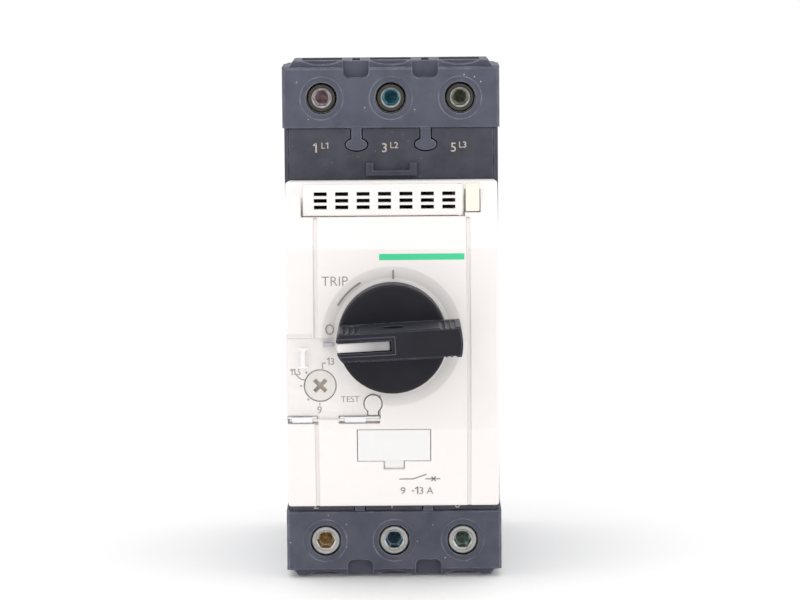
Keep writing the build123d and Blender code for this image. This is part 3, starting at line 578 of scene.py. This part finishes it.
def letters(text, x, z, height, thin=0.0, stretch=1.0, turn=0.0):
    """Flat outlines of a word whose capitals are height mm tall, its lower left corner at x, z."""
    data = bpy.data.curves.new("letters", "FONT")
    data.body = text
    data.size = height / 0.73
    data.offset = -thin
    data.resolution_u = 3
    holder = bpy.data.objects.new("letters", data)
    bpy.context.scene.collection.objects.link(holder)
    bpy.context.view_layer.update()
    flat = bpy.data.meshes.new_from_object(holder.evaluated_get(bpy.context.evaluated_depsgraph_get()))
    points = np.empty(len(flat.vertices) * 3)
    flat.vertices.foreach_get("co", points)
    points = points.reshape(-1, 3)[:, :2]
    points[:, 0] = (points[:, 0] - points[:, 0].min()) * stretch
    spin = np.array(((cos(turn), -sin(turn)), (sin(turn), cos(turn))))
    points = points @ spin.T + (x, z)
    faces = [tuple(polygon.vertices) for polygon in flat.polygons]
    bpy.data.objects.remove(holder)
    bpy.data.meshes.remove(flat)
    return points, faces


def line(points, width):
    """Flat ribbon of the given width along points, which may be a bent or curved path."""
    path = np.array(points, float)
    ahead = np.gradient(path, axis=0)
    ahead /= np.linalg.norm(ahead, axis=1)[:, None]
    aside = np.column_stack((-ahead[:, 1], ahead[:, 0])) * width / 2
    count = len(path)
    rim = np.vstack((path + aside, path - aside))
    return rim, [(k, k + count, k + count + 1, k + 1) for k in range(count - 1)]


def one(x, z, height, width):
    """Numeral 1: an upright with a short flag at its upper left, lower left corner at x, z."""
    stem = x + 0.30 * height
    return [line([(stem, z), (stem, z + height)], width),
            line([(x, z + 0.72 * height), (stem, z + height - 0.3 * width)], width)]


def disc(x, z, radius):
    """Flat dot."""
    angle = np.linspace(0, 2 * pi, 12, endpoint=False)
    return np.column_stack((x + radius * np.cos(angle), z + radius * np.sin(angle))), [tuple(range(12))]


def arc(x, z, radius, start, end, count=24):
    """Points of a circular arc, angles in degrees."""
    angle = np.radians(np.linspace(start, end, count))
    return np.column_stack((x + radius * np.cos(angle), z + radius * np.sin(angle)))


def add_print(name, body, ink, place, *pieces):
    """One mesh of ink films, laid on a face by place, that moves with a body."""
    points, faces = [], []
    for flat, polygons in pieces:
        base = sum(len(p) for p in points)
        points.append(place(flat))
        faces += [tuple(base + k for k in polygon) for polygon in polygons]
    mesh = bpy.data.meshes.new(name)
    mesh.from_pydata(np.vstack(points).tolist(), [], faces)
    mesh.materials.append(ink)
    for polygon in mesh.polygons:
        if polygon.normal.y > 0:
            polygon.flip()
    mesh.update()
    film = bpy.data.objects.new(name, mesh)
    bpy.context.scene.collection.objects.link(film)
    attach(film, body)
    return film


INK_DEPTH = 0.000002
grey_ink = moulded_plastic("grey_ink", (0.19, 0.175, 0.175), (0.27, 0.25, 0.25), (0.3, 0.3, 0.3),
                           roughness=0.5, grain=0.0002, depth=INK_DEPTH)
beige_ink = moulded_plastic("beige_ink", (0.50, 0.42, 0.36), (0.60, 0.52, 0.46), (0.5, 0.45, 0.4),
                            roughness=0.5, grain=0.0002, depth=INK_DEPTH)
green_ink = moulded_plastic("green_ink", (0.045, 0.64, 0.29), (0.06, 0.68, 0.32), (0.05, 0.65, 0.3),
                            roughness=0.4, grain=0.0006, depth=INK_DEPTH)
KNOB_Z = -0.3
add_print("panel_print", "breaker", grey_ink, on_panel(PANEL_Y),
          line([(0.3, 13.9), (0.3, 16.1)], 0.36),
          letters("TRIP", -17.3, 12.3, 2.5, 0.03, 0.98),
          line(arc(0, KNOB_Z, 15.4, 120, 150), 0.38),
          letters("O", -16.5, 0.2, 2.8, 0.03, 0.78))
add_print("panel_stripe", "breaker", green_ink, on_panel(PANEL_Y),
          line([(-3.1, 19.35), (17.85, 19.35)], 1.55))
add_print("dial_scale", "breaker", grey_ink, on_panel(RECESS_Y),
          letters("TEST", -12.8, -16.7, 1.55, 0.0, 1.0),
          *one(-16.2, -7.4, 1.8, 0.25), letters("3", -15.3, -7.4, 1.8, 0.0, 1.0),
          line([(-17.3, -8.4), (-17.3, -7.0)], 0.26), line([(-17.42, -6.95), (-16.5, -6.95)], 0.26),
          *one(-25.3, -9.9, 1.6, 0.24), *one(-24.6, -9.9, 1.6, 0.24),
          disc(-23.75, -9.75, 0.15), letters("5", -23.5, -9.9, 1.6, 0.0, 0.9),
          line(arc(-21.6, -8.7, 2.4, 200, 265), 0.26),
          letters("9", -18.7, -19.5, 1.9, 0.0, 1.0),
          line([(-18.05, -17.5), (-18.05, -16.9)], 0.25),
          disc(-21.3, -9.3, 0.24), disc(-22.6, -12.6, 0.24), disc(-20.9, -16.0, 0.24))
add_print("rating_print", "breaker", grey_ink, on_chin,
          letters("9", 1.75, -18.4, 2.1, 0.03, 1.0), line([(4.5, -17.5), (5.1, -17.5)], 0.26),
          *one(5.35, -18.4, 2.1, 0.28), letters("3", 6.4, -18.4, 2.1, 0.03, 1.0),
          letters("A", 8.2, -18.4, 2.1, 0.03, 0.9),
          line([(1.4, -14.1), (4.9, -14.1)], 0.25), line([(4.9, -14.1), (8.2, -12.8)], 0.25),
          line([(7.9, -14.1), (11.6, -14.1)], 0.25),
          line([(9.4, -14.75), (10.5, -13.45)], 0.25), line([(9.4, -13.45), (10.5, -14.75)], 0.25))
STRIP_PRINT = []
for x, number in ((-19.7, "1"), (-2.3, "3"), (15.1, "5")):
    pole = str(int(number) // 2 + 1)
    large = one(x, 42.9, 2.4, 0.38) if number == "1" else [letters(number, x, 42.9, 2.4, -0.01, 1.0)]
    small = one(x + 3.2, 43.9, 1.6, 0.26) if pole == "1" else [letters(pole, x + 3.1, 43.9, 1.6, -0.02, 1.0)]
    STRIP_PRINT += [*large, *small, letters("L", x + 2.1, 43.9, 1.6, 0.0, 1.0)]
add_print("line_numbers", "breaker", beige_ink, on_panel(STRIP_Y), *STRIP_PRINT)
STRIP_PRINT = []
for x, number in ((-20.6, "2"), (-1.5, "4"), (15.6, "6")):
    STRIP_PRINT += [letters(number, x, -48.4, 2.3, 0.02, 0.95),
                    letters("T" + str(int(number) // 2), x + 2.4, -47.5, 1.6, -0.02, 1.0)]
add_print("load_numbers", "breaker", beige_ink, on_panel(STRIP_Y), *STRIP_PRINT)
